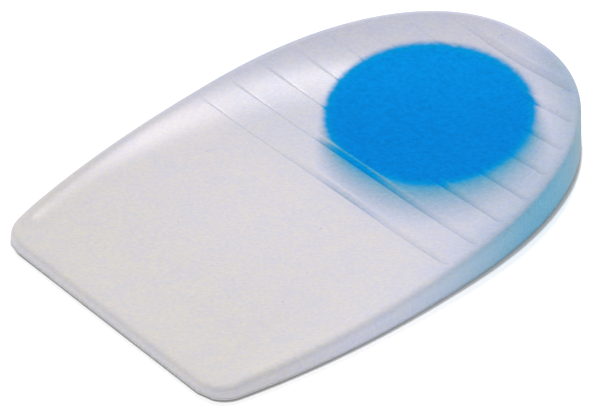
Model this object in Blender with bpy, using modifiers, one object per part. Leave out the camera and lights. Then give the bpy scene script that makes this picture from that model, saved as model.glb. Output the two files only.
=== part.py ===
"""Heel pad: a silicone wedge with a round soft plug under the heel, in a felt cover.

Metres. X runs across the pad, Y from the thin front edge to the heel, and Z up.
The origin is under the middle of the pad, on the surface that it rests on.
"""
import math

import bmesh
import bpy
from mathutils import Vector

# Outline of the pad's foot, seen from above
LENGTH = 0.1003
WIDTH = 0.0650
FRONT_WIDTH = 0.0533
WIDEST_FROM_FRONT = 0.0488
FRONT_CORNER_RADIUS = 0.0055
SIDE_CURVE = 2.3   # exponent of the sides: more keeps them full for longer towards the front
HEEL_CURVE = 2.23  # exponent of the heel end: 2 is an ellipse, more is squarer

# Gel wedge, and the cup that its rim makes round the heel
LIP_HEIGHT = 0.0005
FRONT_RISE = 0.0004
HEEL_FLOOR_HEIGHT = 0.0027
SIDE_RIM_RISE = 0.0006
HEEL_RIM_RISE = 0.0048
HEEL_RISE_CURVE = 1.8
RIM_FADE_LENGTH = 0.0080
FRONT_BAND_WIDTH = 0.0047
HEEL_BAND_WIDTH = 0.0280
BAND_GROWTH_START = -0.0030
BAND_GROWTH_END = 0.0920
CUP_CURVE = 2.0
WALL_LEAN = math.radians(5.0)
RIM_RADIUS = FRONT_RISE / 2

# Felt cover
COVER_THICKNESS = 0.0010
FIT_GAP = 0.0003

# Soft plug
CORE_DIAMETER = 0.0370
CORE_HEEL_WALL = 0.0080

# Grooves pressed across the heel half of the cover
FIRST_GROOVE = 0.0487
GROOVE_PITCH = 0.00705
PITCH_LOSS = 0.000045
LAST_GROOVE_MARGIN = 0.0060
GROOVE_BOW = 0.0019
BOW_CURVE = 3.4    # exponent of the bow: more keeps a groove straight for longer before its ends turn
GROOVE_WIDTH = 0.0013
GROOVE_DEPTH = 0.0004
GROOVE_TIP_LENGTH = 0.0020
GROOVE_END_MARGIN = 0.0002

# How finely the curved forms are divided
CORNER_STEPS = 5
SIDE_STEPS = 11
HEEL_STEPS = 16
RIM_STEPS = 3
ROW_SHARES = (0.0, 0.24, 0.44, 0.60, 0.72, 0.82, 0.91, 1.0)
CORE_SIDES = 64
GROOVE_STATIONS = 15
CUTTER_OVERRUN = 0.0020
MERGE_DISTANCE = 0.00001

PARTS_NAME = "heel_pad"
CUTTERS_NAME = "heel_pad_cutters"


def clear_scene():
    for obj in list(bpy.data.objects):
        bpy.data.objects.remove(obj, do_unlink=True)


def new_collection(name):
    collection = bpy.data.collections.new(name)
    bpy.context.scene.collection.children.link(collection)
    return collection


def principled(name, colour, roughness, transmission=0.0):
    material = bpy.data.materials.new(name)
    material.use_nodes = True
    shader = material.node_tree.nodes["Principled BSDF"]
    shader.inputs["Base Color"].default_value = (*colour, 1.0)
    shader.inputs["Roughness"].default_value = roughness
    shader.inputs["Metallic"].default_value = 0.0
    shader.inputs["Transmission Weight"].default_value = transmission
    return material


def new_object(name, mesh, collection, material=None):
    obj = bpy.data.objects.new(name, mesh)
    collection.objects.link(obj)
    if material:
        mesh.materials.append(material)
    return obj


def smooth_step(low, high, value):
    share = min(max((value - low) / (high - low), 0.0), 1.0)
    return share * share * (3 - 2 * share)


# The outline is measured from the middle of the front edge: x outwards, y towards the heel


def side_half_width(y):
    narrowing = (WIDTH - FRONT_WIDTH) / 2
    return WIDTH / 2 - narrowing * (1 - y / WIDEST_FROM_FRONT) ** SIDE_CURVE


def side_slope(y):
    narrowing = (WIDTH - FRONT_WIDTH) / 2
    return narrowing * SIDE_CURVE / WIDEST_FROM_FRONT * (1 - y / WIDEST_FROM_FRONT) ** (SIDE_CURVE - 1)


def corner():
    """The front corner's arc: its centre's x, where it meets the side, and the angle it turns through."""
    meets_side = FRONT_CORNER_RADIUS
    for _ in range(8):
        side_turn = math.atan(side_slope(meets_side))
        meets_side = FRONT_CORNER_RADIUS * (1 - math.sin(side_turn))
    centre_x = side_half_width(meets_side) - FRONT_CORNER_RADIUS * math.cos(side_turn)
    return centre_x, meets_side, math.pi / 2 - side_turn


def half_outline():
    """Foot of the pad from the middle of the front edge, round the right side, to the heel's end."""
    centre_x, meets_side, turn = corner()
    heel_length = LENGTH - WIDEST_FROM_FRONT
    points = [(share * centre_x, 0.0) for share in ROW_SHARES]
    for step in range(1, CORNER_STEPS):
        angle = turn * step / CORNER_STEPS
        x = centre_x + FRONT_CORNER_RADIUS * math.sin(angle)
        points.append((x, FRONT_CORNER_RADIUS * (1 - math.cos(angle))))
    for step in range(SIDE_STEPS):
        y = meets_side + (WIDEST_FROM_FRONT - meets_side) * step / SIDE_STEPS
        points.append((side_half_width(y), y))
    for step in range(HEEL_STEPS):
        angle = math.pi / 2 * step / HEEL_STEPS
        x = WIDTH / 2 * math.cos(angle) ** (2 / HEEL_CURVE)
        y = WIDEST_FROM_FRONT + heel_length * math.sin(angle) ** (2 / HEEL_CURVE)
        points.append((x, y))
    points.append((0.0, LENGTH))
    return [Vector(point) for point in points]


def outward_normals(points):
    """Unit normals of the half outline; its two ends lie on the pad's middle line."""
    normals = [Vector((0.0, -1.0))]
    for before, after in zip(points, points[2:]):
        along = (after - before).normalized()
        normals.append(Vector((along.y, -along.x)))
    normals.append(Vector((0.0, 1.0)))
    return normals


OUTLINE = half_outline()
NORMALS = outward_normals(OUTLINE)


# Heights of the gel's top


def floor_height(y):
    front_height = LIP_HEIGHT + FRONT_RISE
    return front_height + (HEEL_FLOOR_HEIGHT - front_height) * y / LENGTH


def rim_rise(y):
    at_front = SIDE_RIM_RISE * smooth_step(0.0, RIM_FADE_LENGTH, y)
    return at_front + HEEL_RIM_RISE * max(y / LENGTH, 0.0) ** HEEL_RISE_CURVE


def band_width(y):
    """How wide the sloping band is between the rim and the cup's floor."""
    growth = smooth_step(BAND_GROWTH_START, BAND_GROWTH_END, y)
    return FRONT_BAND_WIDTH + (HEEL_BAND_WIDTH - FRONT_BAND_WIDTH) * growth


def rim_height(y):
    return floor_height(y) + rim_rise(y)


def crest_inset(foot_inset, foot_height, y):
    """How far inside the outline a skin's crest lies, when its leaning wall starts at this foot."""
    return foot_inset + RIM_RADIUS + (rim_height(y) - foot_height) * math.tan(WALL_LEAN)


GEL_INSET = COVER_THICKNESS + FIT_GAP


def gel_crest_inset(y):
    return crest_inset(GEL_INSET, LIP_HEIGHT, y)


def distance_from_outline(x, y):
    """Distance inwards from the pad's foot, seen from above."""
    place = Vector((x, y))
    nearest = math.inf
    for start, end in zip(OUTLINE, OUTLINE[1:]):
        run = end - start
        share = min(max((place - start).dot(run) / run.length_squared, 0.0), 1.0)
        nearest = min(nearest, (place - start - run * share).length)
    return nearest


def gel_top(x, y):
    from_crest = max(distance_from_outline(abs(x), y) - gel_crest_inset(y), 0.0)
    share = max(1 - from_crest / band_width(y), 0.0)
    return floor_height(y) + rim_rise(y) * share ** CUP_CURVE


def skin_rings(foot_inset, foot_height, lift):
    """Rings of a skin over the gel: up the leaning wall, round the rim, ending at the rim's crest."""
    rings = [[] for _ in range(RIM_STEPS + 2)]
    for point, normal in zip(OUTLINE, NORMALS):
        reach = crest_inset(foot_inset, foot_height - lift, point.y)
        wall_top = rim_height((point - normal * reach).y) + lift - RIM_RADIUS
        sections = [(foot_inset, foot_height)]
        for step in range(RIM_STEPS + 1):
            angle = math.pi / 2 * step / RIM_STEPS
            sections.append((reach - RIM_RADIUS * math.cos(angle), wall_top + RIM_RADIUS * math.sin(angle)))
        for ring, (inset, height) in zip(rings, sections):
            place = point - normal * inset
            ring.append((place.x, place.y, height))
    return rings


def frame_place(place):
    """From the outline's own coordinates to the pad's frame, whose origin is under its middle."""
    x, y, z = place
    return (x, y - LENGTH / 2, z)


def add_ring(bm, ring):
    return [bm.verts.new(frame_place(place)) for place in ring]


def join_rings(bm, lower, upper):
    for index in range(len(lower) - 1):
        bm.faces.new((lower[index], lower[index + 1], upper[index + 1], upper[index]))


def fill_top(bm, crest_ring, crest, lift):
    """Rows straight across the pad, from the middle line out to the crest."""
    columns = len(ROW_SHARES)
    row = crest[:columns]
    for station in range(columns, len(crest) - 1):
        edge_x, edge_y, _ = crest_ring[station]
        next_row = []
        for share in ROW_SHARES[:-1]:
            x = edge_x * share
            next_row.append(bm.verts.new(frame_place((x, edge_y, gel_top(x, edge_y) + lift))))
        next_row.append(crest[station])
        for column in range(columns - 1):
            bm.faces.new((row[column], row[column + 1], next_row[column + 1], next_row[column]))
        row = next_row
    for column in range(columns - 1):
        bm.faces.new((row[column], row[column + 1], crest[-1]))


def finish_mesh(bm, name):
    bmesh.ops.recalc_face_normals(bm, faces=bm.faces)
    mesh = bpy.data.meshes.new(name)
    bm.to_mesh(mesh)
    bm.free()
    mesh.shade_smooth()
    mesh.set_sharp_from_angle(angle=math.radians(40))
    return mesh


def add_mirror(obj):
    mirror = obj.modifiers.new("other_half", "MIRROR")
    mirror.use_axis = (True, False, False)
    mirror.use_clip = True
    mirror.merge_threshold = MERGE_DISTANCE


def add_boolean(obj, operation, cutter):
    boolean = obj.modifiers.new(operation.lower() + "_" + cutter.name, "BOOLEAN")
    boolean.operation = operation
    boolean.object = cutter
    boolean.solver = "EXACT"


def hide_cutter(obj):
    obj.hide_render = True
    obj.display_type = "WIRE"


def half_gel_mesh(name):
    """Right half of the wedge without its pocket, open at the middle plane."""
    bm = bmesh.new()
    foot = add_ring(bm, [(point.x, point.y, 0.0) for point in OUTLINE])
    lip = add_ring(bm, [(point.x, point.y, LIP_HEIGHT) for point in OUTLINE])
    rings = skin_rings(GEL_INSET, LIP_HEIGHT, 0.0)
    wall = [add_ring(bm, ring) for ring in rings]
    bm.faces.new(foot)
    join_rings(bm, foot, lip)
    join_rings(bm, lip, wall[0])
    for lower, upper in zip(wall, wall[1:]):
        join_rings(bm, lower, upper)
    fill_top(bm, rings[-1], wall[-1], 0.0)
    return finish_mesh(bm, name)


def half_cover_mesh(name):
    """Inner face of the felt on the right half: an open sheet, one gap above the gel."""
    bm = bmesh.new()
    rings = skin_rings(COVER_THICKNESS, LIP_HEIGHT + FIT_GAP, FIT_GAP)
    wall = [add_ring(bm, ring) for ring in rings]
    for lower, upper in zip(wall, wall[1:]):
        join_rings(bm, lower, upper)
    fill_top(bm, rings[-1], wall[-1], FIT_GAP)
    return finish_mesh(bm, name)


def core_centre():
    return LENGTH - CORE_HEEL_WALL - CORE_DIAMETER / 2


def pad_height():
    return rim_height(LENGTH) + FIT_GAP + COVER_THICKNESS


def upright_cylinder(name, radius, collection):
    """A cylinder at the plug's place that runs past the pad, above and below."""
    bm = bmesh.new()
    depth = pad_height() + 2 * CUTTER_OVERRUN
    bmesh.ops.create_cone(bm, cap_ends=True, segments=CORE_SIDES, radius1=radius, radius2=radius, depth=depth)
    bmesh.ops.translate(bm, verts=bm.verts, vec=frame_place((0.0, core_centre(), pad_height() / 2)))
    return new_object(name, finish_mesh(bm, name), collection)


def groove_places():
    """How far from the front each groove crosses the middle line; the gaps shrink towards the heel."""
    places = []
    y = FIRST_GROOVE
    while y <= LENGTH - LAST_GROOVE_MARGIN:
        places.append(y)
        y += GROOVE_PITCH - PITCH_LOSS * (len(places) - 1) ** 2
    return places


def crest_half_width(y):
    """Half the distance between the two crests of the gel's rim at y."""
    crest = [point - normal * gel_crest_inset(point.y) for point, normal in zip(OUTLINE, NORMALS)]
    sides = crest[len(ROW_SHARES):]
    for start, end in zip(sides, sides[1:]):
        if start.y <= y <= end.y:
            return start.x + (end.x - start.x) * (y - start.y) / (end.y - start.y)
    return 0.0


def groove_cutter(number, place, collection):
    """A round bar across the felt, bowed at its ends, sunk by the groove's depth and lifted clear at both ends."""
    bar_radius = (GROOVE_WIDTH ** 2 / 4 + GROOVE_DEPTH ** 2) / (2 * GROOVE_DEPTH)
    reach = crest_half_width(place - GROOVE_BOW) - GROOVE_END_MARGIN
    curve = bpy.data.curves.new("groove_bar", "CURVE")
    curve.dimensions = "3D"
    curve.bevel_depth = bar_radius
    curve.bevel_resolution = 2
    curve.use_fill_caps = True
    spline = curve.splines.new("POLY")
    spline.points.add(GROOVE_STATIONS - 1)
    for index, point in enumerate(spline.points):
        x = -reach * math.cos(math.pi * index / (GROOVE_STATIONS - 1))
        y = place - GROOVE_BOW * (abs(x) / reach) ** BOW_CURVE
        sunk = min((reach - abs(x)) / GROOVE_TIP_LENGTH, 1.0)
        felt_top = gel_top(x, y) + FIT_GAP + COVER_THICKNESS
        height = felt_top + bar_radius - GROOVE_DEPTH * (1.5 * sunk - 0.5)
        point.co = (*frame_place((x, y, height)), 1.0)
    bar = new_object("groove_bar", curve, collection)
    name = "groove_cutter_" + str(number)
    cutter = new_object(name, solid_mesh(bar, name), collection)
    bpy.data.objects.remove(bar, do_unlink=True)
    return cutter


def solid_mesh(obj, name):
    """The object as a mesh with its caps welded on."""
    graph = bpy.context.evaluated_depsgraph_get()
    mesh = bpy.data.meshes.new_from_object(obj.evaluated_get(graph))
    mesh.name = name
    bm = bmesh.new()
    bm.from_mesh(mesh)
    bmesh.ops.remove_doubles(bm, verts=bm.verts, dist=MERGE_DISTANCE)
    bmesh.ops.recalc_face_normals(bm, faces=bm.faces)
    bm.to_mesh(mesh)
    bm.free()
    return mesh


def build_gel_body(parts, cutters, material):
    body = new_object("gel_body", half_gel_mesh("gel_body"), parts, material)
    add_mirror(body)
    pocket = upright_cylinder("pocket_cutter", CORE_DIAMETER / 2, cutters)
    add_boolean(body, "DIFFERENCE", pocket)


def build_soft_core(parts, cutters, material):
    blank = new_object("core_blank", half_gel_mesh("core_blank"), cutters)
    add_mirror(blank)
    core = upright_cylinder("soft_core", CORE_DIAMETER / 2 - FIT_GAP, parts)
    core.data.materials.append(material)
    add_boolean(core, "INTERSECT", blank)


def build_cover(parts, cutters, material):
    cover = new_object("cover", half_cover_mesh("cover"), parts, material)
    add_mirror(cover)
    felt = cover.modifiers.new("felt", "SOLIDIFY")
    felt.thickness = COVER_THICKNESS
    felt.offset = 1.0
    felt.use_even_offset = True
    for number, place in enumerate(groove_places(), start=1):
        add_boolean(cover, "DIFFERENCE", groove_cutter(number, place, cutters))


def main():
    clear_scene()
    parts = new_collection(PARTS_NAME)
    cutters = new_collection(CUTTERS_NAME)
    silicone = principled("silicone", (0.72, 0.76, 0.80), 0.35, transmission=0.4)
    blue_gel = principled("blue_gel", (0.0, 0.24, 0.70), 0.4)
    felt = principled("felt", (0.66, 0.65, 0.67), 0.9)
    build_gel_body(parts, cutters, silicone)
    build_soft_core(parts, cutters, blue_gel)
    build_cover(parts, cutters, felt)
    for cutter in cutters.objects:
        hide_cutter(cutter)


main()
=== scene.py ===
"""Looks of the heel pad: a moulded felt cover over clear silicone, with a blue plug showing through.

Metres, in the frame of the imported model: X across the pad, Y towards the heel, Z up.
"""
import math

import bmesh
import bpy
import numpy as np
from mathutils import Matrix, Vector

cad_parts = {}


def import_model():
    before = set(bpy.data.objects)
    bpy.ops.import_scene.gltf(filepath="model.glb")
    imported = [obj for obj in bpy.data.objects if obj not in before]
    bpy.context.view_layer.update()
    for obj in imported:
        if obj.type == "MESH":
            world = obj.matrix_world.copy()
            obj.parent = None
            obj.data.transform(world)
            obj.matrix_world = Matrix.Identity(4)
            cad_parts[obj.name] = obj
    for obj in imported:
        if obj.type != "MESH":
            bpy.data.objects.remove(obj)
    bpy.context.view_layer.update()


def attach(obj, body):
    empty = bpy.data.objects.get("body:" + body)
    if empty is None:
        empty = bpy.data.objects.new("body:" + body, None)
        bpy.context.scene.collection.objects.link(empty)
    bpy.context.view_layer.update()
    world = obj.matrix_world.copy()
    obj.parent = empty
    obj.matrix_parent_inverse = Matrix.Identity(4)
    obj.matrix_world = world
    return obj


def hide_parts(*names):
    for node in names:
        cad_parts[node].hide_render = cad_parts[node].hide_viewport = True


MM = 0.001

# Outline of the pad's foot, as in the part's source
LENGTH = 0.1003
WIDTH = 0.0650
FRONT_WIDTH = 0.0533
WIDEST_FROM_FRONT = 0.0488
FRONT_CORNER_RADIUS = 0.0055
SIDE_CURVE = 2.3
HEEL_CURVE = 2.23

# Gel wedge and its cup, as in the part's source
LIP_HEIGHT = 0.0005
FRONT_RISE = 0.0004
HEEL_FLOOR_HEIGHT = 0.0027
SIDE_RIM_RISE = 0.0006
HEEL_RIM_RISE = 0.0048
HEEL_RISE_CURVE = 1.8
RIM_FADE_LENGTH = 0.0080
FRONT_BAND_WIDTH = 0.0047
HEEL_BAND_WIDTH = 0.0280
BAND_GROWTH_START = -0.0030
BAND_GROWTH_END = 0.0920
CUP_CURVE = 2.0
WALL_LEAN = math.radians(5.0)
RIM_RADIUS = FRONT_RISE / 2

# Felt, plug and the spacing of the grooves, as in the part's source
COVER_THICKNESS = 0.0010
FIT_GAP = 0.0003
CORE_DIAMETER = 0.0370
CORE_HEEL_WALL = 0.0080
GROOVE_PITCH = 0.00705
PITCH_LOSS = 0.000045
LAST_GROOVE_MARGIN = 0.0060
GROOVE_BOW = 0.0019
BOW_CURVE = 3.4

# Grooves as pressed in the felt: a steep front edge, a back that rises ever more gently, a low ridge behind.
# They are a little wider and shallower than the part's, and the first and the last bow less.
# The first groove's place is that of its front edge here, and of its middle in the part's source.
FIRST_GROOVE = 0.0481
BOW_LOSS = 1.6
BOW_PEAK = 0.43
GROOVE_DEPTH = 0.00034
GROOVE_WIDTH = 0.00145
GROOVE_FRONT_EDGE = 0.00012
FRONT_EDGE_AHEAD = 0.3
GROOVE_BACK_CURVE = 2.4
LEFT_ACROSS = (-0.003, -0.014)
LEFT_SHALLOWER = 0.88
LEFT_NARROWER = 0.55
LEFT_BLUNTER = 2.0
LEFT_FADE_START = 0.0048
LEFT_FADE_END = 0.0002
CORE_SHALLOWER = 0.70
RIDGE_MIDDLE = 0.002
RIDGE_REACH = 0.012
RIDGE_HEIGHT = 0.00005
RIDGE_WIDTH = 0.00045
GROOVE_END_MARGIN = 0.0004
GROOVE_END_LENGTH = 0.0016
GROOVE_HOOK = 0.7
GROOVE_CLOSING = 0.85

# How finely the pieces are divided; the groove rows are in millimetres behind each groove's front edge
CORNER_FIT_STEPS = 8
FRONT_POINTS = 60
DENSE_POINTS = 900
PLACES_AT_ONCE = 2000
COLUMNS = 56
COLUMN_CURVE = 1.5
FRONT_ROW_STEP = 0.0020
GROOVE_ROWS = (-0.50, -0.22, -0.08, -0.02, 0.03, 0.08, 0.13, 0.20, 0.30, 0.42, 0.58, 0.78, 1.0, 1.2, 1.36,
               1.5, 1.64, 1.8, 2.05)
BETWEEN_GROOVES = 3
BOWED_ROWS_START = 0.012
BOWED_ROWS_FULL = 0.002
END_ROWS = 16
CORNER_ROWS = 9
WALL_STEPS = 5
RIM_ARC_STEPS = 8
GEL_COLUMNS = 14
GEL_CORNER_ROWS = 8
GEL_SIDE_ROWS = 44
GEL_HEEL_ROWS = 20
GEL_HEEL_START = 0.088
PLUG_SIDES = 160
MIRROR_MERGE = 0.000005

# Hem of the felt, and the gel's undercut foot, with painted shadow low in the undercut and painted light
# above it
HEM_RADIUS = 0.00015
HEM_GAP = 0.00005
HEM_TURNS = (math.radians(30), math.radians(60))
LIP_EDGE_MIDDLE = 0.3
FOOT_UNDERCUT = 0.0008
FOOT_HEIGHT = 0.00026
FOOT_BEND = (0.5, 0.4)
# Painted shadow and painted light on the gel by height: dark low in the undercut, 14 % lighter from the lip
# up
FOOT_PAINTED_SHADES = (1.0, 0.04, 0.20, 1.14)

# Plug: it stands just above the floor, and the cylinders that shape it reach below and above the gel
PLUG_FOOT = 0.00004
PLUG_BEVEL = 0.0003
SHARP_ANGLE = math.radians(40)
BELOW_GEL = -0.002
ABOVE_GEL = 0.014

# Blueness of the felt, and the colour that each share of it multiplies the felt's own by.
# Here and below, a span is where a change begins and where it is full, as distances from the front edge.
# The pairs named across do the same from the middle line, positive to the right.
BLUE_STEPS = (
    (0.0, (1.0, 1.0, 1.0)),
    (0.15, (0.86, 0.915, 1.04)),
    (0.40, (0.60, 0.735, 0.89)),
    (0.75, (0.25, 0.58, 0.785)),
    (0.95, (0.05, 0.48, 0.81)),
    (1.0, (0.0, 0.40, 0.90)),
)
ALL_OVER_BLUE = 0.10
ALL_OVER_SPAN = (0.040, 0.058)
LEFT_RIM_BLUE = 0.04
LEFT_RIM_SPAN = (0.015, 0.025)
LEFT_RIM_REACH = 0.0035
REAR_RIM_BLUE = 0.28
REAR_RIM_SPAN = (0.080, 0.096)
REAR_RIM_ACROSS = (-0.002, 0.010)
REAR_RIM_REACH = 0.004
FROM_WALL_BLUE = 0.50
FROM_WALL_REACH = 0.004
RIGHT_ACROSS = (-0.005, 0.010)
HOLLOW_BLUE = 0.12
HOLLOW_HAZE = 0.75

# Blue haze round the plug
HAZE_START = 0.0003
HAZE_TOWARDS = math.radians(-42)
HAZE_BEHIND = 0.0008
HAZE_IN_FRONT = 0.0120
HAZE_TURN = 1.5
HAZE_STRENGTH = 0.90
HAZE_LEAST = 0.25
HAZE_FULL_FACING = 0.5
HAZE_FADE = 1.5
SPREAD_IN_GROOVE = 0.0013
LESS_ON_RIDGE = 0.0016
RIDGE_FADE = 0.7
RIDGE_FADE_SPAN = (0.060, 0.072)

# Marks of the grooves, stronger at the front and on the right: the blue in each hollow, and painted shade
# along each crease
HOLLOW_CURVE = 1.5
HOLLOW_MIDDLE = 0.005
HOLLOW_REACH = 0.012
HOLLOW_ASIDE = 0.3
CREASE_PAINTED_SHADE = (0.26, 0.18, 0.13)
CREASE_PLACE = 0.00010
CREASE_WIDTH = 0.00022
MARKS_AT_FRONT = 1.1
MARKS_FADE = 0.60
MARKS_FADE_SPAN = (0.060, 0.078)
LEFT_MARKS = 0.60
LEFT_MARKS_ACROSS = (-0.024, -0.004)
RIGHT_MARKS_GAIN = 0.6
RIGHT_MARKS_ACROSS = (0.012, 0.024)

# Shades of the felt's top: a warmer front, and painted shade on the left side and, darker, along the left
# rim
FRONT_LOSS = (0.01, 0.015, 0.07)
FRONT_LOSS_SPAN = (0.005, 0.035)
LEFT_PAINTED_SHADE = (0.025, 0.025, 0.03)
LEFT_PAINTED_SHADE_ACROSS = (0.0, -0.020)
LEFT_DARK = 0.07
LEFT_DARK_SPAN = (0.003, 0.012)
LEFT_DARK_FADE = 0.7
LEFT_DARK_FADE_SPAN = (0.072, 0.090)
LEFT_DARK_SHARE_OF_BAND = 0.2

# Side walls of the felt and the gel
WALL_GLOW = 0.69
WALL_GLOW_MIDDLE = 0.070
WALL_GLOW_WIDTH = 0.0245
# Painted light: the felt's side walls are made lighter the more they face sideways
WALL_PAINTED_LIGHT = 1.30
WALL_LOSS = (1.02, 0.45, 0.28)
WALL_COOL = (0.0, 0.03, 0.15)
WALL_COOL_SPAN = (0.008, 0.028)
WALL_REAR_SPAN = (0.074, 0.090)
REAR_COOL_LOSS = 0.8
# Painted shade: the walls of the felt and the gel are darker towards the rear
REAR_WALL_PAINTED_SHADE = 0.10
RIM_TURN = 0.00104
RIM_TURN_END = 0.3
GEL_GLOW = 0.75
GEL_GLOW_REACH = 0.006

# Sheen of the felt, which the left half has most of
SHEEN_ACROSS = (0.0, 0.012)
SHEEN_LOSS = 0.8
SHEEN_AT_FRONT = 0.38
SHEEN_MIDDLE_GAIN = 0.42
SHEEN_MIDDLE_SPAN = (0.016, 0.034)
SHEEN_HEEL_GAIN = 0.20
SHEEN_HEEL_SPAN = (0.044, 0.066)
SHEEN_END_SPAN = (0.079, 0.087)
SHEEN_FROM_CREST = (0.0, 0.0015)
FELT_SHINE = 0.12

# Colours
GEL_CLEAR = (0.78, 0.795, 0.81)
GEL_CLOUDY = (0.84, 0.845, 0.855)
FELT_LILAC = (0.599, 0.604, 0.678)
FELT_CREAM = (0.656, 0.635, 0.622)
PLUG_CLEAR = (0.0, 0.18, 0.64)
PLUG_CLOUDY = (0.02, 0.23, 0.72)
BLUE_AT_FRONT = (0.0, 0.203, 0.612)
BLUE_AT_HEEL = (0.0, 0.264, 0.720)
EDGE_TEAL = (0.0, 0.300, 0.600)

# Patterns in millimetres: a scale is of noise, a range is of the noise that makes a full change
FIBRE_TURN = math.radians(46)
FIBRE_STRETCH = 1.5
PATCH_SCALE = 1.9
PATCH_RANGE = (0.36, 0.64)
CLOUD_SCALE = 0.35
CLOUD_SHARE = 0.25
GRAIN_SCALE = 2.6
GRAIN_RANGE = (0.2, 0.8)
GRAIN_SHADES = (0.955, 1.045)
SPECKS_PER_MM = 0.07
SPECK_RADIUS = 0.17
SPECK_CORE = 0.3
SPECK_SHARE = 0.4
SPECK_DARKNESS = 0.35
RAGGED_SCALE = 1.1
RAGGED_WIDTH = 0.6
EDGE_SOFTNESS = 0.60
EDGE_TEAL_START = 0.3
EDGE_TEAL_REACH = 2.2
EDGE_TEAL_SHARE = 0.8
BLUE_CHANGE = (-6.0, 20.0)
MOTTLE = 0.10
MOTTLE_SCALE = 1.3
MOTTLE_RANGE = (0.25, 0.75)
NAP_SCALE = 4.0
NAP_STRENGTH = 0.4
NAP_HEIGHT = 0.00006
GEL_CLOUD_SCALE = 0.18
PLUG_CLOUD_SCALE = 0.25
SILICONE_CLOUD_RANGE = (0.3, 0.7)

# The photograph's camera, fitted to the outline, the grooves and the round patch
PHOTO_WIDTH = 600
SENSOR_WIDTH = 36.0
CAMERA_AZIMUTH = math.radians(45.84)
CAMERA_ELEVATION = math.radians(39.64)
CAMERA_ROLL = math.radians(1.69)
CAMERA_DISTANCE = 0.4712
CAMERA_FOCAL_PIXELS = 2780.9
CAMERA_TARGET = Vector((-0.00025, 0.04325 - LENGTH / 2, 0.0))
CAMERA_NEAREST = 0.01
CAMERA_FARTHEST = 20.0

# Lights: a white room, a key light above, and two softboxes that the rim's inner slope shows as a stripe
WORLD_BRIGHTNESS = 0.33
FLOOR_GLOW = 0.10
FLOOR_REACH = 12.0
SOFTBOX_DISTANCE = 0.9
ROSE = (1.0, 0.91, 0.93)
SOFTBOXES = (  # name, power, width, length, direction, long side
    ("rim_strip", 1.25, 0.055, 0.21, (-0.40, 0.44, 0.80), (0.09, -0.81, 0.58)),
    ("heel_softbox", 1.85, 0.05, 0.11, (-0.39, 0.39, 0.835), (-0.77, -0.64, 0.0)),
)
KEY_DIRECTION = (-0.21, 0.055, 0.975)
KEY_BRIGHTNESS = 1.60
KEY_ANGLE = math.radians(3.2)


# Curves


def smooth_step(start, full, value):
    """0 before the start, 1 past the full end, and a smooth rise between them, whichever way they run."""
    share = np.clip((value - start) / (full - start), 0.0, 1.0)
    return share * share * (3 - 2 * share)


def hump(value, middle, half_width):
    """1 at the middle, falling smoothly to 0 on both sides."""
    return smooth_step(0.0, 1.0, 1 - np.abs(value - middle) / half_width)


def bell(value, middle, reach):
    """1 at the middle, falling off on both sides without an end."""
    return np.exp(-((value - middle) / reach) ** 2)


# The outline is measured from the middle of the front edge: x outwards, y towards the heel


def side_half_width(y):
    return WIDTH / 2 - (WIDTH - FRONT_WIDTH) / 2 * (1 - y / WIDEST_FROM_FRONT) ** SIDE_CURVE


def dense_outline():
    """Right half of the pad's foot, from the middle of the front edge to the end of the heel."""
    slope = 0.0
    meets_side = FRONT_CORNER_RADIUS
    for _ in range(CORNER_FIT_STEPS):
        run = 1 - meets_side / WIDEST_FROM_FRONT
        slope = (WIDTH - FRONT_WIDTH) / 2 * SIDE_CURVE / WIDEST_FROM_FRONT * run ** (SIDE_CURVE - 1)
        meets_side = FRONT_CORNER_RADIUS * (1 - math.sin(math.atan(slope)))
    side_turn = math.atan(slope)
    centre_x = side_half_width(meets_side) - FRONT_CORNER_RADIUS * math.cos(side_turn)
    front_x = np.linspace(0, centre_x, FRONT_POINTS, endpoint=False)
    front = np.stack([front_x, np.zeros(FRONT_POINTS)], axis=1)
    turn = np.linspace(0, math.pi / 2 - side_turn, FRONT_POINTS, endpoint=False)
    corner = np.stack([centre_x + FRONT_CORNER_RADIUS * np.sin(turn),
                       FRONT_CORNER_RADIUS * (1 - np.cos(turn))], axis=1)
    side_y = np.linspace(meets_side, WIDEST_FROM_FRONT, DENSE_POINTS // 3, endpoint=False)
    side = np.stack([side_half_width(side_y), side_y], axis=1)
    angle = np.linspace(0, math.pi / 2, DENSE_POINTS)
    heel_length = LENGTH - WIDEST_FROM_FRONT
    heel = np.stack([WIDTH / 2 * np.cos(angle) ** (2 / HEEL_CURVE),
                     WIDEST_FROM_FRONT + heel_length * np.sin(angle) ** (2 / HEEL_CURVE)], axis=1)
    heel[-1] = (0.0, LENGTH)
    return np.concatenate([front, corner, side, heel]), centre_x


def outward_normals(points):
    along = points[2:] - points[:-2]
    along /= np.linalg.norm(along, axis=1)[:, None]
    normals = np.zeros_like(points)
    normals[1:-1] = np.stack([along[:, 1], -along[:, 0]], axis=1)
    normals[0] = (0.0, -1.0)
    normals[-1] = (0.0, 1.0)
    return normals


# Heights of the gel's top


def floor_height(y):
    front_height = LIP_HEIGHT + FRONT_RISE
    return front_height + (HEEL_FLOOR_HEIGHT - front_height) * y / LENGTH


def rim_rise(y):
    heel_rise = HEEL_RIM_RISE * np.clip(y / LENGTH, 0.0, None) ** HEEL_RISE_CURVE
    return SIDE_RIM_RISE * smooth_step(0.0, RIM_FADE_LENGTH, y) + heel_rise


def band_width(y):
    growth = smooth_step(BAND_GROWTH_START, BAND_GROWTH_END, y)
    return FRONT_BAND_WIDTH + (HEEL_BAND_WIDTH - FRONT_BAND_WIDTH) * growth


def rim_height(y):
    return floor_height(y) + rim_rise(y)


def crest_inset(foot_inset, foot_height, y):
    return foot_inset + RIM_RADIUS + (rim_height(y) - foot_height) * math.tan(WALL_LEAN)


OUTLINE, CORNER_X = dense_outline()
NORMALS = outward_normals(OUTLINE)
MEASURED_OUTLINE = OUTLINE[::3]


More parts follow.
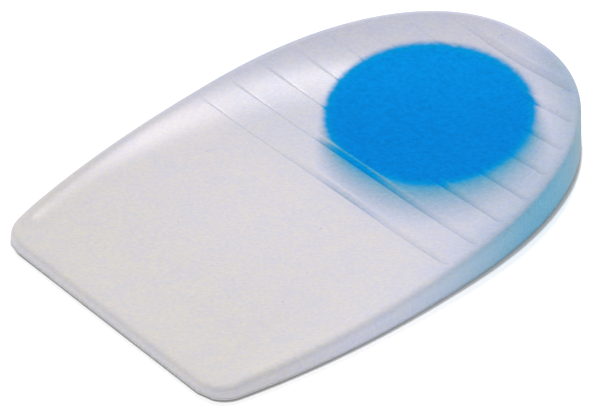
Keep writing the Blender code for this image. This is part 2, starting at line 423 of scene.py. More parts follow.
def distance_from_outline(x, y):
    """Distance inwards from the pad's foot, seen from above, for arrays of places."""
    places = np.stack([np.abs(x), y], axis=-1).reshape(-1, 1, 2)
    starts = MEASURED_OUTLINE[None, :-1]
    runs = MEASURED_OUTLINE[None, 1:] - starts
    lengths = (runs ** 2).sum(axis=2)
    nearest = np.empty(len(places))
    for first in range(0, len(places), PLACES_AT_ONCE):
        offset = places[first:first + PLACES_AT_ONCE] - starts
        share = np.clip((offset * runs).sum(axis=2) / lengths, 0.0, 1.0)
        gap = offset - share[..., None] * runs
        nearest[first:first + PLACES_AT_ONCE] = np.sqrt((gap ** 2).sum(axis=2)).min(axis=1)
    return nearest.reshape(np.shape(x))


def gel_top(x, y):
    inset = crest_inset(COVER_THICKNESS + FIT_GAP, LIP_HEIGHT, y)
    from_crest = np.clip(distance_from_outline(x, y) - inset, 0.0, None)
    share = np.clip(1 - from_crest / band_width(y), 0.0, None)
    return floor_height(y) + rim_rise(y) * share ** CUP_CURVE


def felt_top(x, y):
    """Height of the felt before the grooves are pressed into it."""
    return gel_top(x, y) + FIT_GAP + COVER_THICKNESS


# Plug and grooves


def core_from_front():
    return LENGTH - CORE_HEEL_WALL - CORE_DIAMETER / 2


def core_centre():
    return core_from_front() - LENGTH / 2


def groove_places():
    """Where each groove crosses the middle line, ever closer together towards the heel."""
    places = []
    y = FIRST_GROOVE
    while y <= LENGTH - LAST_GROOVE_MARGIN:
        places.append(y)
        y += GROOVE_PITCH - PITCH_LOSS * (len(places) - 1) ** 2
    return places


CREST = OUTLINE - NORMALS * crest_inset(COVER_THICKNESS, LIP_HEIGHT, OUTLINE[:, 1])[:, None]
GROOVES = groove_places()


def crest_half_width(y):
    beyond = np.argmax(CREST[:, 0] >= CORNER_X)
    return np.interp(y, CREST[beyond:, 1], CREST[beyond:, 0])


def groove_bow(place):
    """How much nearer the front a groove's ends are than its middle."""
    towards_heel = (place - GROOVES[0]) / (GROOVES[-1] - GROOVES[0])
    return GROOVE_BOW * (1 - BOW_LOSS * (towards_heel - BOW_PEAK) ** 2)


def left_share(x):
    """0 to the right of the middle line, 1 well to its left, where the grooves are faint."""
    return smooth_step(*LEFT_ACROSS, x)


def pressed(x):
    """How deep the press goes: fully on the right, least on the left."""
    return 1 - LEFT_SHALLOWER * left_share(x)


def groove_width(x):
    return GROOVE_WIDTH * (1 - LEFT_NARROWER * left_share(x))


def front_edge(x):
    return GROOVE_FRONT_EDGE * (1 + LEFT_BLUNTER * left_share(x))


def groove_shares(x, y):
    """For each groove: how far each place lies behind its front edge, how far its end's hook moves that edge
    back, and how much of the groove is there, which falls to 0 past its ends."""
    for place in GROOVES:
        bow = groove_bow(place)
        half = crest_half_width(place - bow)
        behind = y - place + bow * np.minimum(np.abs(x) / half, 1.0) ** BOW_CURVE
        end_start = half - GROOVE_END_MARGIN - GROOVE_END_LENGTH
        end = np.clip((np.abs(x) - end_start) / GROOVE_END_LENGTH, 0.0, 1.0)
        hook = GROOVE_HOOK * groove_width(x) * (1 - np.sqrt(1 - end ** 2))
        fading = smooth_step(half - LEFT_FADE_START, half - LEFT_FADE_END, -x)
        yield behind, hook, (1 - smooth_step(GROOVE_CLOSING, 1.0, end)) * (1 - fading)


def groove_back(x, behind, curve):
    """1 at a groove's front edge, ever less towards its back."""
    return np.clip(1 - np.clip(behind, 0.0, None) / groove_width(x), 0.0, 1.0) ** curve


def hollow_share(x, behind, hook):
    """How deep a groove is at each place: at once at its front edge, ever less towards its back."""
    front = smooth_step(-FRONT_EDGE_AHEAD * front_edge(x), front_edge(x), behind - hook)
    return front * groove_back(x, behind, GROOVE_BACK_CURVE)


def ridge_share(x, behind):
    """How much of the low ridge behind a groove stands at each place."""
    return hump(behind, GROOVE_WIDTH, RIDGE_WIDTH) * bell(x, RIDGE_MIDDLE, RIDGE_REACH)


def over_core(x, y):
    """1 over the plug, which gives under the press, and 0 beside it."""
    radius = np.hypot(x, y - core_from_front())
    return 1 - smooth_step(CORE_DIAMETER / 2 - MM, CORE_DIAMETER / 2 + MM, radius)


def groove_depth(x, y):
    """How deep the felt is pressed in at each place, less the ridge behind each groove."""
    depth = np.zeros(np.shape(x))
    for behind, hook, present in groove_shares(x, y):
        depth += present * GROOVE_DEPTH * hollow_share(x, behind, hook) * pressed(x)
        depth -= present * RIDGE_HEIGHT * ridge_share(x, behind)
    return depth * (1 - CORE_SHALLOWER * over_core(x, y))


# Meshes


def row_places():
    """How far from the front each row of the felt meets the rim's crest, and how far it bows."""
    first = CREST[0, 1]
    last = CREST[-1, 1]
    rows = list(np.linspace(first, FRONT_CORNER_RADIUS + MM, CORNER_ROWS + 1)[1:])
    steps = int((GROOVES[0] - rows[-1]) / FRONT_ROW_STEP)
    rows += list(np.linspace(rows[-1], GROOVES[0] + GROOVE_ROWS[0] * MM, steps + 1)[1:-1])
    for place, following in zip(GROOVES, GROOVES[1:] + [None]):
        rows += [place + offset * MM for offset in GROOVE_ROWS]
        if following:
            between = np.linspace(rows[-1], following + GROOVE_ROWS[0] * MM, BETWEEN_GROOVES + 2)
            rows += list(between[1:-1])
    share = np.linspace(0, 1, END_ROWS + 1)[1:-1]
    rows += list(rows[-1] + (last - rows[-1]) * (1 - (1 - share) ** 2))
    rows = np.array(rows)
    bow = groove_bow(np.clip(rows, GROOVES[0], GROOVES[-1]))
    bow *= smooth_step(BOWED_ROWS_START, GROOVES[0] - BOWED_ROWS_FULL, rows)
    last_groove = GROOVES[-1] + GROOVE_ROWS[-1] * MM
    bow *= np.clip((last - rows) / (last - last_groove), 0.0, 1.0)
    return rows - bow, bow


def gel_row_places():
    """How far from the front each row of the gel meets the rim's crest."""
    share = np.linspace(0, 1, GEL_HEEL_ROWS)[1:-1]
    return np.concatenate([
        np.linspace(CREST[0, 1], FRONT_CORNER_RADIUS, GEL_CORNER_ROWS)[1:],
        np.linspace(FRONT_CORNER_RADIUS, GEL_HEEL_START, GEL_SIDE_ROWS)[1:],
        GEL_HEEL_START + (CREST[-1, 1] - GEL_HEEL_START) * (1 - (1 - share) ** 2),
    ])


def column_shares(columns):
    """Shares of the half width, closer together towards the rim."""
    share = np.linspace(0, 1, columns)
    return 1 - (1 - share) ** COLUMN_CURVE


def stations(rows, columns):
    """Places on the outline, and their outward normals, where a column of the front edge or a row ends."""
    travelled = np.concatenate([[0.0], np.cumsum(np.linalg.norm(np.diff(OUTLINE, axis=0), axis=1))])
    front = column_shares(columns) * CORNER_X
    beyond = np.argmax(OUTLINE[:, 0] >= CORNER_X)
    along_rows = np.interp(rows, CREST[beyond:, 1], travelled[beyond:])
    along = np.concatenate([front, along_rows, travelled[-1:]])
    points = np.stack([np.interp(along, travelled, OUTLINE[:, axis]) for axis in range(2)], axis=1)
    normals = np.stack([np.interp(along, travelled, NORMALS[:, axis]) for axis in range(2)], axis=1)
    return points, normals / np.linalg.norm(normals, axis=1)[:, None]


def skin_sections(points, normals, foot_inset, foot_height, radius, lift, hem_radius):
    """Rings up the leaning wall and round the rim, each an array of x, y and z."""
    reach = crest_inset(foot_inset + radius - RIM_RADIUS, LIP_HEIGHT, points[:, 1])
    crest_y = points[:, 1] - normals[:, 1] * reach
    wall_top = rim_height(crest_y) + lift - radius
    rings = []
    if hem_radius:
        rings.append((np.full(len(points), foot_inset + hem_radius), np.full(len(points), foot_height)))
        for angle in HEM_TURNS:
            inset = foot_inset + hem_radius * (1 - math.sin(angle))
            height = foot_height + hem_radius * (1 - math.cos(angle))
            rings.append((np.full(len(points), inset), np.full(len(points), height)))
    wall_foot = foot_height + hem_radius
    for step in range(WALL_STEPS):
        share = step / WALL_STEPS
        rings.append((foot_inset + (reach - radius - foot_inset) * share,
                      wall_foot + (wall_top - wall_foot) * share))
    for step in range(RIM_ARC_STEPS + 1):
        angle = math.pi / 2 * step / RIM_ARC_STEPS
        rings.append((reach - radius * math.cos(angle), wall_top + radius * math.sin(angle)))
    return [np.column_stack([points - normals * inset[:, None], height]) for inset, height in rings]


class HalfMesh:
    """Vertices and faces of the right half of a piece, open at the middle plane."""

    def __init__(self):
        self.places = []
        self.faces = []

    def add(self, ring):
        first = len(self.places)
        self.places.extend(ring.tolist())
        return list(range(first, len(self.places)))

    def join(self, lower, upper):
        for index in range(len(lower) - 1):
            self.faces.append((lower[index], lower[index + 1], upper[index + 1], upper[index]))

    def fill_rows(self, crest, columns, row_at):
        row = crest[:columns]
        for station in range(columns, len(crest) - 1):
            following = self.add(row_at(station)) + [crest[station]]
            for column in range(columns - 1):
                self.faces.append((row[column], row[column + 1], following[column + 1], following[column]))
            row = following
        for column in range(columns - 1):
            self.faces.append((row[column], row[column + 1], crest[-1]))

    def mesh(self, name):
        places = np.array(self.places)
        places[:, 1] -= LENGTH / 2
        mesh = bpy.data.meshes.new(name)
        mesh.from_pydata(places.tolist(), [], self.faces)
        mesh.validate()
        mesh.shade_smooth()
        return mesh


def new_piece(name, mesh, material):
    obj = bpy.data.objects.new(name, mesh)
    bpy.context.scene.collection.objects.link(obj)
    mesh.materials.append(material)
    return obj


def apply_modifiers(obj):
    graph = bpy.context.evaluated_depsgraph_get()
    mesh = bpy.data.meshes.new_from_object(obj.evaluated_get(graph))
    old = obj.data
    obj.modifiers.clear()
    obj.data = mesh
    bpy.data.meshes.remove(old)


def add_mirror(obj):
    mirror = obj.modifiers.new("other_half", "MIRROR")
    mirror.use_clip = True
    mirror.merge_threshold = MIRROR_MERGE


def press_grooves(mesh):
    """Sinks the grooves into the whole felt, whose two sides differ."""
    places = np.empty(len(mesh.vertices) * 3)
    mesh.vertices.foreach_get("co", places)
    places = places.reshape(-1, 3)
    places[:, 2] -= groove_depth(places[:, 0], places[:, 1] + LENGTH / 2)
    mesh.vertices.foreach_set("co", places.ravel())
    mesh.update()


# Tints: the plug's blue spreads through the felt and through the gel under it, and painted shade and light
# are held with it


def plug_haze(x, y, spread):
    """How blue the felt is outside the plug: widest towards the front right, narrow behind."""
    from_core = y - core_from_front()
    radius = np.hypot(x, from_core)
    facing = np.clip((x * math.cos(HAZE_TOWARDS) + from_core * math.sin(HAZE_TOWARDS)) / radius, 0.0, 1.0)
    reach = HAZE_BEHIND + HAZE_IN_FRONT * facing ** HAZE_TURN
    strength = HAZE_STRENGTH * (HAZE_LEAST + (1 - HAZE_LEAST) * smooth_step(0.0, HAZE_FULL_FACING, facing))
    beyond = radius - CORE_DIAMETER / 2 - HAZE_START - spread
    return strength * np.clip(1 - beyond / reach, 0.0, 1.0) ** HAZE_FADE


def wall_glow(y):
    return WALL_GLOW * bell(y, WALL_GLOW_MIDDLE, WALL_GLOW_WIDTH)


def wall_tint(y, glow, channel):
    """What one channel of the wall's colour is multiplied by: cool, bluer near the plug, with painted shade
    at the rear.
    """
    rear = smooth_step(*WALL_REAR_SPAN, y)
    cool = smooth_step(*WALL_COOL_SPAN, y) * (1 - REAR_COOL_LOSS * rear)
    return (1 - REAR_WALL_PAINTED_SHADE * rear) * (1 + WALL_COOL[channel] * cool - WALL_LOSS[channel] * glow)


def joined(*shares):
    """One share that covers all that any of the given shares covers."""
    left = 1.0
    for share in shares:
        left = left * (1 - share)
    return 1 - left


def groove_marks(x, y):
    """Shares, over all grooves, of the hollow, the painted shade of the front edge's crease and the ridge
    behind.
    """
    hollow = np.zeros(np.shape(x))
    crease = np.zeros(np.shape(x))
    ridge = np.zeros(np.shape(x))
    for behind, hook, present in groove_shares(x, y):
        inside = smooth_step(-GROOVE_FRONT_EDGE, GROOVE_FRONT_EDGE, behind - hook)
        hollow += present * inside * groove_back(x, behind, HOLLOW_CURVE)
        crease += present * hump(behind - hook, CREASE_PLACE, CREASE_WIDTH)
        ridge += present * ridge_share(x, behind)
    marks_strength = MARKS_AT_FRONT - MARKS_FADE * smooth_step(*MARKS_FADE_SPAN, y)
    left_fade = LEFT_MARKS + (1 - LEFT_MARKS) * smooth_step(*LEFT_MARKS_ACROSS, x)
    right_gain = 1 + RIGHT_MARKS_GAIN * smooth_step(*RIGHT_MARKS_ACROSS, x)
    hollow *= marks_strength * (HOLLOW_ASIDE + (1 - HOLLOW_ASIDE) * bell(x, HOLLOW_MIDDLE, HOLLOW_REACH))
    return hollow, crease * marks_strength * left_fade * right_gain, ridge


def vertex_places(mesh):
    """Each vertex's x, its distance from the front edge and its height."""
    places = np.empty(len(mesh.vertices) * 3)
    mesh.vertices.foreach_get("co", places)
    x, y, z = places.reshape(-1, 3).T
    return x, y + LENGTH / 2, z


def store_tint(mesh, tint):
    attribute = mesh.attributes.new("tint", "FLOAT_COLOR", "POINT")
    attribute.data.foreach_set("color", tint.ravel())


def tint_gel(mesh):
    """Gives the clear gel the plug's blue, painted shadow in its undercut foot and painted light on the lip.
    """
    x, y, z = vertex_places(mesh)
    beyond = np.clip(np.hypot(x, y - core_from_front()) - CORE_DIAMETER / 2, 0.0, None)
    glow = np.maximum(wall_glow(y), GEL_GLOW * np.exp(-beyond / GEL_GLOW_REACH))
    foot_heights = (0.0, FOOT_BEND[1] * FOOT_HEIGHT, FOOT_HEIGHT, FOOT_HEIGHT + HEM_GAP)
    # Painted shadow in the undercut foot, and painted light from the lip up
    foot = np.interp(z, foot_heights, FOOT_PAINTED_SHADES)
    tint = np.ones((len(x), 4))
    for channel in range(3):
        tint[:, channel] = wall_tint(y, glow, channel) * foot
    store_tint(mesh, tint)


def felt_blueness(x, y, from_crest, right, glow, hollow, haze):
    """How blue the felt's top is at each place, from 0 to 1."""
    all_over = ALL_OVER_BLUE * smooth_step(*ALL_OVER_SPAN, y)
    left_rim = LEFT_RIM_BLUE * (1 - right) * smooth_step(*LEFT_RIM_SPAN, y)
    left_rim *= bell(from_crest, 0.0, LEFT_RIM_REACH)
    rear_rim = REAR_RIM_BLUE * smooth_step(*REAR_RIM_ACROSS, x) * smooth_step(*REAR_RIM_SPAN, y)
    rear_rim *= bell(from_crest, 0.0, REAR_RIM_REACH)
    from_wall = FROM_WALL_BLUE * right * glow * np.exp(-from_crest / FROM_WALL_REACH)
    in_hollow = hollow * (HOLLOW_BLUE * bell(x, HOLLOW_MIDDLE, HOLLOW_REACH) + HOLLOW_HAZE * haze)
    return joined(haze, all_over, left_rim, rear_rim, from_wall, in_hollow)


def felt_warmth_and_painted_shade(x, y, from_crest, right, channel):
    """How much of one channel of the felt's top is lost at each place: warmer at the front, painted shade on
    the left.
    """
    front = 1 - smooth_step(*FRONT_LOSS_SPAN, y)
    left = smooth_step(*LEFT_PAINTED_SHADE_ACROSS, x)
    # Painted shade along the left rim's crest
    left_dark = LEFT_DARK * (1 - right) * smooth_step(*LEFT_DARK_SPAN, y)
    left_dark *= 1 - LEFT_DARK_FADE * smooth_step(*LEFT_DARK_FADE_SPAN, y)
    left_dark *= bell(from_crest, 0.0, LEFT_DARK_SHARE_OF_BAND * band_width(y))
    return FRONT_LOSS[channel] * front + LEFT_PAINTED_SHADE[channel] * left + left_dark


def felt_sheen(x, y, from_crest, marks):
    """How much of the sheen the felt's top has at each place: none in the grooves or at the heel's end."""
    sheen = (1 - SHEEN_LOSS * smooth_step(*SHEEN_ACROSS, x)) * (1 - np.clip(marks, 0.0, 1.0))
    sheen *= (SHEEN_AT_FRONT + SHEEN_MIDDLE_GAIN * smooth_step(*SHEEN_MIDDLE_SPAN, y)
              + SHEEN_HEEL_GAIN * smooth_step(*SHEEN_HEEL_SPAN, y))
    return sheen * smooth_step(*SHEEN_FROM_CREST, from_crest) * (1 - smooth_step(*SHEEN_END_SPAN, y))


def tint_felt(mesh):
    """Stores each vertex of the felt's tint, painted shade and light among it, its sheen, and how far the
    plug's disc spreads.
    """
    x, y, _ = vertex_places(mesh)
    inset = distance_from_outline(x, y)
    crest = crest_inset(COVER_THICKNESS, LIP_HEIGHT, y)
    wall = 1 - smooth_step(crest - RIM_TURN, crest - RIM_TURN_END * RIM_TURN, inset)
    sideways = np.clip((crest - inset) / RIM_TURN, 0.0, 1.0)
    upward = np.sqrt(1 - sideways ** 2)
    # Painted light on the walls, growing as the felt turns from the top to the side
    gain = 1 + (WALL_PAINTED_LIGHT - 1) * (1 - upward) ** 2
    from_crest = np.clip(inset - crest, 0.0, None)
    right = smooth_step(*RIGHT_ACROSS, x)
    glow = wall_glow(y)
    hollow, crease, ridge = groove_marks(x, y)
    ridge *= 1 - RIDGE_FADE * smooth_step(*RIDGE_FADE_SPAN, y)
    spread = SPREAD_IN_GROOVE * hollow - LESS_ON_RIDGE * ridge
    blueness = felt_blueness(x, y, from_crest, right, glow, hollow, plug_haze(x, y, spread))
    tint = np.ones((len(x), 4))
    for channel in range(3):
        steps = [colour[channel] for _, colour in BLUE_STEPS]
        on_top = np.interp(blueness, [share for share, _ in BLUE_STEPS], steps)
        # Painted shade along each groove's crease
        on_top *= 1 - CREASE_PAINTED_SHADE[channel] * crease
        # Less blue at the front, and painted shade on the left side and the left rim
        on_top *= 1 - felt_warmth_and_painted_shade(x, y, from_crest, right, channel)
        tint[:, channel] = on_top + (wall_tint(y, glow, channel) * gain - on_top) * wall
    store_tint(mesh, tint)
    sheen = (1 - wall) * felt_sheen(x, y, from_crest, crease + hollow)
    for name, values in (("spread", spread / MM), ("shine", sheen)):
        attribute = mesh.attributes.new(name, "FLOAT", "POINT")
        attribute.data.foreach_set("value", values)


# Pieces


def build_cover(material):
    rows, bows = row_places()
    points, normals = stations(rows, COLUMNS)
    hem = LIP_HEIGHT + HEM_GAP
    radius = COVER_THICKNESS + RIM_RADIUS
    rings = skin_sections(points, normals, 0.0, hem, radius, FIT_GAP + COVER_THICKNESS, HEM_RADIUS)
    half = HalfMesh()
    placed = [half.add(ring) for ring in rings]
    for lower, upper in zip(placed, placed[1:]):
        half.join(lower, upper)
    crest = rings[-1]
    shares = column_shares(COLUMNS)[:-1]

    def top_row(station):
        x = crest[station, 0] * shares
        y = crest[station, 1] + bows[station - COLUMNS] * (1 - shares ** BOW_CURVE)
        return np.column_stack([x, y, felt_top(x, y)])

    half.fill_rows(placed[-1], COLUMNS, top_row)
    cover = new_piece("felt_cover", half.mesh("felt_cover"), material)
    add_mirror(cover)
    apply_modifiers(cover)
    press_grooves(cover.data)
    tint_felt(cover.data)
    felt = cover.modifiers.new("felt", "SOLIDIFY")
    felt.thickness = COVER_THICKNESS - HEM_RADIUS / 2
    felt.offset = -1.0
    return cover


def half_gel(name):
    """Right half of the gel as if it had no pocket, open at the middle plane."""
    points, normals = stations(gel_row_places(), GEL_COLUMNS)
    bevel = HEM_RADIUS
    profile = (
        (FOOT_UNDERCUT, 0.0),
        (FOOT_BEND[0] * FOOT_UNDERCUT, FOOT_BEND[1] * FOOT_HEIGHT),
        (0.0, FOOT_HEIGHT),
        (0.0, FOOT_HEIGHT + HEM_GAP),
        (0.0, LIP_HEIGHT - bevel),
        (LIP_EDGE_MIDDLE * bevel, LIP_HEIGHT - LIP_EDGE_MIDDLE * bevel),
        (bevel, LIP_HEIGHT),
    )
    rings = [np.column_stack([points - normals * inset, np.full(len(points), height)])
             for inset, height in profile]
    rings += skin_sections(points, normals, COVER_THICKNESS + FIT_GAP, LIP_HEIGHT, RIM_RADIUS, 0.0, 0.0)
    half = HalfMesh()
    placed = [half.add(ring) for ring in rings]
    for lower, upper in zip(placed, placed[1:]):
        half.join(lower, upper)
    foot = rings[0]
    crest = rings[-1]
    shares = column_shares(GEL_COLUMNS)[:-1]

    def top_row(station):
        x = crest[station, 0] * shares
        y = np.full(len(x), crest[station, 1])
        return np.column_stack([x, y, gel_top(x, y)])

    def foot_row(station):
        x = foot[station, 0] * shares
        return np.column_stack([x, np.full(len(x), foot[station, 1]), np.zeros(len(x))])

    half.fill_rows(placed[-1], GEL_COLUMNS, top_row)
    top_faces = len(half.faces)
    half.fill_rows(placed[0], GEL_COLUMNS, foot_row)
    half.faces[top_faces:] = [tuple(reversed(face)) for face in half.faces[top_faces:]]
    return half.mesh(name)


def plug_cylinder(name, radius, low, material, bevel=0.0):
    """An upright cylinder round the plug's axis, from the given height to well above the gel."""
    bm = bmesh.new()
    bmesh.ops.create_cone(bm, cap_ends=True, segments=PLUG_SIDES, radius1=radius, radius2=radius,
                          depth=ABOVE_GEL - low)
    bmesh.ops.translate(bm, verts=bm.verts, vec=(0.0, core_centre(), (low + ABOVE_GEL) / 2))
    if bevel:
        rim = [edge for edge in bm.edges if all(vert.co.z < low + MM for vert in edge.verts)]
        bmesh.ops.bevel(bm, geom=rim, offset=bevel, segments=3, profile=0.5, affect="EDGES")
    mesh = bpy.data.meshes.new(name)
    bm.to_mesh(mesh)
    bm.free()
    mesh.shade_smooth()
    mesh.set_sharp_from_angle(angle=SHARP_ANGLE)
    return new_piece(name, mesh, material)


def cut_with(obj, operation, cutter):
    boolean = obj.modifiers.new(operation.lower(), "BOOLEAN")
    boolean.operation = operation
    boolean.object = cutter
    boolean.solver = "EXACT"
    apply_modifiers(obj)
    bpy.data.objects.remove(cutter, do_unlink=True)


def build_gel(material):
    body = new_piece("gel_pad", half_gel("gel_pad"), material)
    add_mirror(body)
    cut_with(body, "DIFFERENCE", plug_cylinder("pocket", CORE_DIAMETER / 2, BELOW_GEL, material))
    tint_gel(body.data)
    return body


def build_core(material, blank_material):
    blank = new_piece("blank", half_gel("blank"), blank_material)
    add_mirror(blank)
    core = plug_cylinder("blue_plug", CORE_DIAMETER / 2 - FIT_GAP, PLUG_FOOT, material, bevel=PLUG_BEVEL)
    cut_with(core, "INTERSECT", blank)
    return core


# Materials


class Nodes:
    """Short ways to add and link shader nodes."""

    def __init__(self, name):
        self.material = bpy.data.materials.new(name)
        self.material.use_nodes = True
        self.tree = self.material.node_tree
        self.shader = self.tree.nodes["Principled BSDF"]

    def set(self, name, value):
        self.shader.inputs[name].default_value = value

    def link(self, source, target):
        self.tree.links.new(source, target)

    def feed(self, socket, value):
        """Links the input to another node's output, or sets it to a number or a colour."""
        if isinstance(value, bpy.types.NodeSocket):
            self.link(value, socket)
        elif isinstance(value, tuple):
            socket.default_value = (*value, 1.0)
        else:
            socket.default_value = value

    def add(self, kind, **settings):
        node = self.tree.nodes.new(kind)
        for name, value in settings.items():
            setattr(node, name, value)
        return node

    def math(self, operation, first, second=0.0, clamp=False):
        node = self.add("ShaderNodeMath", operation=operation, use_clamp=clamp)
        self.feed(node.inputs[0], first)
        self.feed(node.inputs[1], second)
        return node.outputs[0]

    def less(self, share):
        """1 less the given share."""
        return self.math("SUBTRACT", 1.0, share)

    def step(self, value, low, high, result_low=0.0, result_high=1.0):
        node = self.add("ShaderNodeMapRange", interpolation_type="SMOOTHSTEP")
        self.feed(node.inputs["Value"], value)
        self.feed(node.inputs["From Min"], low)
        self.feed(node.inputs["From Max"], high)
        self.feed(node.inputs["To Min"], result_low)
        self.feed(node.inputs["To Max"], result_high)
        return node.outputs[0]

    def mix(self, share, first, second, blend="MIX"):
        """One colour mixed into another; a mix node's sixth and seventh inputs take the colours."""
        node = self.add("ShaderNodeMix", data_type="RGBA", blend_type=blend)
        self.feed(node.inputs[0], share)
        self.feed(node.inputs[6], first)
        self.feed(node.inputs[7], second)
        return node.outputs[2]

    def times(self, first, second):
        """One colour multiplied by another."""
        return self.mix(1.0, first, second, blend="MULTIPLY")

    def attribute(self, name, output):
        return self.add("ShaderNodeAttribute", attribute_name=name).outputs[output]

    def grey(self, value):
        node = self.add("ShaderNodeCombineColor")
        for socket in node.inputs:
            self.link(value, socket)
        return node.outputs[0]

    def place(self, stretch=1.0, turn=0.0):
        """The object's own coordinates in millimetres, turned about Z and then drawn out along X."""
        coordinates = self.add("ShaderNodeTexCoord").outputs["Object"]
        turned = self.add("ShaderNodeMapping", vector_type="TEXTURE")
        turned.inputs["Rotation"].default_value = (0.0, 0.0, turn)
        turned.inputs["Scale"].default_value = (stretch * MM, MM, MM)
        self.link(coordinates, turned.inputs["Vector"])
        return turned.outputs["Vector"]

    def noise(self, vector, scale, detail=2.0, roughness=0.5):
        node = self.add("ShaderNodeTexNoise")
        self.link(vector, node.inputs["Vector"])
        node.inputs["Scale"].default_value = scale
        node.inputs["Detail"].default_value = detail
        node.inputs["Roughness"].default_value = roughness
        return node.outputs["Fac"]


def felt_white(felt, fibres):
    """Faint cream and lilac patches."""
    patches = felt.noise(fibres, PATCH_SCALE, detail=3.0, roughness=0.6)
    clouds = felt.noise(fibres, CLOUD_SCALE, detail=1.0)
    warmth = felt.math("ADD", felt.math("MULTIPLY", patches, 1 - CLOUD_SHARE),
                       felt.math("MULTIPLY", clouds, CLOUD_SHARE))
    return felt.mix(felt.step(warmth, *PATCH_RANGE), FELT_LILAC, FELT_CREAM)


def felt_grain(felt, fibres):
    """Light and dark grain, with a few dark fibres."""
    grain = felt.noise(fibres, GRAIN_SCALE, detail=2.0, roughness=0.7)
    shade = felt.step(grain, *GRAIN_RANGE, *GRAIN_SHADES)
    specks = felt.add("ShaderNodeTexVoronoi", voronoi_dimensions="2D")
    specks.inputs["Scale"].default_value = SPECKS_PER_MM
    felt.link(felt.place(), specks.inputs["Vector"])
    kept = felt.math("LESS_THAN", specks.outputs["Color"], SPECK_SHARE)
    radius = SPECK_RADIUS * SPECKS_PER_MM
    near = felt.step(specks.outputs["Distance"], radius, SPECK_CORE * radius)
    dark = felt.math("MULTIPLY", felt.math("MULTIPLY", kept, near), SPECK_DARKNESS)
    return felt.math("MULTIPLY", shade, felt.less(dark))


def felt_disc(felt, fibres):
    """The plug's share of the felt's colour, with a ragged edge, and the blue that it shows there."""
    separate = felt.add("ShaderNodeSeparateXYZ")
    felt.link(felt.place(), separate.inputs[0])
    x, y, _ = separate.outputs
    from_y = felt.math("SUBTRACT", y, core_centre() / MM)
    squares = felt.math("ADD", felt.math("MULTIPLY", x, x), felt.math("MULTIPLY", from_y, from_y))
    beyond = felt.math("SUBTRACT", felt.math("SQRT", squares), CORE_DIAMETER / 2 / MM)
    beyond = felt.math("SUBTRACT", beyond, felt.attribute("spread", "Fac"))
    uneven = felt.math("SUBTRACT", felt.noise(fibres, RAGGED_SCALE, detail=3.0), 0.5)
    edge = felt.math("ADD", beyond, felt.math("MULTIPLY", uneven, RAGGED_WIDTH))
    away = felt.math("MULTIPLY", felt.math("SUBTRACT", from_y, x), math.sqrt(0.5))
    blue = felt.mix(felt.step(away, *BLUE_CHANGE), BLUE_AT_FRONT, BLUE_AT_HEEL)
    teal = felt.step(edge, -EDGE_TEAL_REACH, EDGE_TEAL_START, 0.0, EDGE_TEAL_SHARE)
    return felt.step(edge, EDGE_SOFTNESS, -EDGE_SOFTNESS), felt.mix(teal, blue, EDGE_TEAL)


def felt_mottle(felt, fibres, tint, disc):
    """Light and dark patches where the felt is blue."""
    channels = felt.add("ShaderNodeSeparateColor")
    felt.link(tint, channels.inputs[0])
    bare = felt.math("MULTIPLY", channels.outputs[0], felt.less(disc))
    soaked = felt.math("SUBTRACT", 1.0, bare, clamp=True)
    uneven = felt.noise(fibres, MOTTLE_SCALE, detail=4.0, roughness=0.65)
    mottle = felt.step(uneven, *MOTTLE_RANGE, -MOTTLE, MOTTLE)
    return felt.math("ADD", 1.0, felt.math("MULTIPLY", mottle, soaked))


def felt_material():
    """White felt that the plug's blue shows through, with a sheen and a fine nap."""
    felt = Nodes("felt")
    fibres = felt.place(stretch=FIBRE_STRETCH, turn=FIBRE_TURN)
    tint = felt.attribute("tint", "Color")
    disc, blue = felt_disc(felt, fibres)
    colour = felt.mix(disc, felt.times(felt_white(felt, fibres), tint), blue)
    shade = felt.math("MULTIPLY", felt_grain(felt, fibres), felt_mottle(felt, fibres, tint, disc))
    felt.link(felt.times(colour, felt.grey(shade)), felt.shader.inputs["Base Color"])
    felt.set("Roughness", 0.85)
    felt.set("Specular IOR Level", 0.03)
    sheen = felt.math("MULTIPLY", felt.attribute("shine", "Fac"), felt.less(disc))
    felt.link(felt.math("MULTIPLY", sheen, FELT_SHINE), felt.shader.inputs["Coat Weight"])
    felt.set("Coat Roughness", 0.16)
    felt.set("Coat IOR", 1.5)
    nap = felt.add("ShaderNodeBump")
    nap.inputs["Strength"].default_value = NAP_STRENGTH
    nap.inputs["Distance"].default_value = NAP_HEIGHT
    felt.link(felt.noise(fibres, NAP_SCALE, detail=4.0, roughness=0.65), nap.inputs["Height"])
    felt.link(nap.outputs[0], felt.shader.inputs["Normal"])
    return felt.material


def gel_material():
    gel = Nodes("clear_silicone")
    cloud = gel.step(gel.noise(gel.place(), GEL_CLOUD_SCALE, detail=3.0), *SILICONE_CLOUD_RANGE)
    colour = gel.times(gel.mix(cloud, GEL_CLEAR, GEL_CLOUDY), gel.attribute("tint", "Color"))
    gel.link(colour, gel.shader.inputs["Base Color"])
    gel.set("Roughness", 0.35)
    gel.set("Specular IOR Level", 0.3)
    return gel.material


def plug_material():
    plug = Nodes("blue_silicone")
    cloud = plug.step(plug.noise(plug.place(), PLUG_CLOUD_SCALE, detail=3.0), *SILICONE_CLOUD_RANGE)
    plug.link(plug.mix(cloud, PLUG_CLEAR, PLUG_CLOUDY), plug.shader.inputs["Base Color"])
    plug.set("Roughness", 0.35)
    return plug.material


def floor_material():
    floor = Nodes("pale_floor")
    floor.set("Base Color", (0.97, 0.97, 0.97, 1.0))
    floor.set("Roughness", 0.9)
    floor.set("Specular IOR Level", 0.0)
    floor.set("Emission Color", (1.0, 1.0, 1.0, 1.0))
    floor.set("Emission Strength", FLOOR_GLOW)
    return floor.material


# Stage


def build_floor():
    corners = [(-FLOOR_REACH, -FLOOR_REACH, 0.0), (FLOOR_REACH, -FLOOR_REACH, 0.0),
               (FLOOR_REACH, FLOOR_REACH, 0.0), (-FLOOR_REACH, FLOOR_REACH, 0.0)]
    mesh = bpy.data.meshes.new("floor")
    mesh.from_pydata(corners, [], [(0, 1, 2, 3)])
    floor = new_piece("floor", mesh, floor_material())


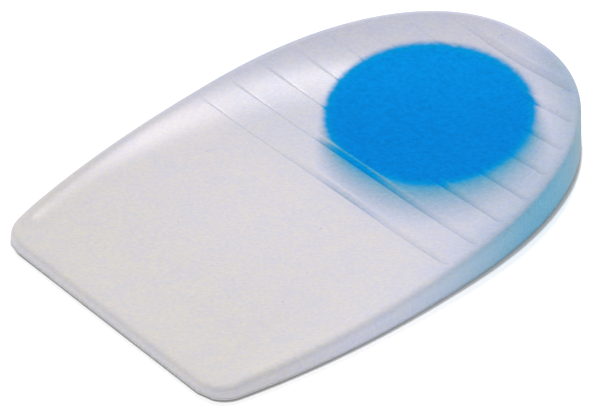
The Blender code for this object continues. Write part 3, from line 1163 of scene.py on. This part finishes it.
def build_softbox(name, power, width, length, direction, long_side):
    """A rectangular light that shines on the middle of the pad."""
    data = bpy.data.lights.new(name, "AREA")
    data.energy = power
    data.color = ROSE
    data.shape = "RECTANGLE"
    data.size = width
    data.size_y = length
    light = bpy.data.objects.new(name, data)
    bpy.context.scene.collection.objects.link(light)
    towards = Vector(direction).normalized()
    across = Vector(long_side).cross(towards).normalized()
    along = towards.cross(across)
    turn = Matrix((across, along, towards)).transposed()
    light.matrix_world = Matrix.Translation(towards * SOFTBOX_DISTANCE) @ turn.to_4x4()


def build_key():
    """A small bright light far above, which casts the crisp shadow beside the foot, deepened by painted
    shadow on the gel.
    """
    data = bpy.data.lights.new("key_light", "SUN")
    data.energy = KEY_BRIGHTNESS
    data.angle = KEY_ANGLE
    light = bpy.data.objects.new("key_light", data)
    bpy.context.scene.collection.objects.link(light)
    light.rotation_euler = Vector(KEY_DIRECTION).to_track_quat("Z", "Y").to_euler()


def build_world():
    world = bpy.data.worlds.new("studio")
    bpy.context.scene.world = world
    world.use_nodes = True
    background = world.node_tree.nodes["Background"]
    background.inputs["Color"].default_value = (1.0, 1.0, 1.0, 1.0)
    background.inputs["Strength"].default_value = WORLD_BRIGHTNESS


def build_camera():
    data = bpy.data.cameras.new("camera")
    data.sensor_width = SENSOR_WIDTH
    data.lens = SENSOR_WIDTH * CAMERA_FOCAL_PIXELS / PHOTO_WIDTH
    data.clip_start = CAMERA_NEAREST
    data.clip_end = CAMERA_FARTHEST
    camera = bpy.data.objects.new("camera", data)
    bpy.context.scene.collection.objects.link(camera)
    forward = Vector((-math.sin(CAMERA_AZIMUTH) * math.cos(CAMERA_ELEVATION),
                      math.cos(CAMERA_AZIMUTH) * math.cos(CAMERA_ELEVATION),
                      -math.sin(CAMERA_ELEVATION)))
    level = Vector((math.cos(CAMERA_AZIMUTH), math.sin(CAMERA_AZIMUTH), 0.0))
    above = level.cross(forward)
    right = level * math.cos(CAMERA_ROLL) + above * math.sin(CAMERA_ROLL)
    up = above * math.cos(CAMERA_ROLL) - level * math.sin(CAMERA_ROLL)
    turn = Matrix((right, up, -forward)).transposed()
    camera.matrix_world = Matrix.Translation(CAMERA_TARGET - forward * CAMERA_DISTANCE) @ turn.to_4x4()
    bpy.context.scene.camera = camera


def main():
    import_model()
    bpy.context.scene.view_settings.view_transform = "Standard"
    gel = gel_material()
    pieces = (
        (build_cover(felt_material()), "cover", "felt"),
        (build_gel(gel), "gel_body", "silicone"),
        (build_core(plug_material(), gel), "soft_core", "blue_gel"),
    )
    for piece, node, slot in pieces:
        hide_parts(node)
        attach(piece, "root")
    build_floor()
    build_world()
    for softbox in SOFTBOXES:
        build_softbox(*softbox)
    build_key()
    build_camera()


main()
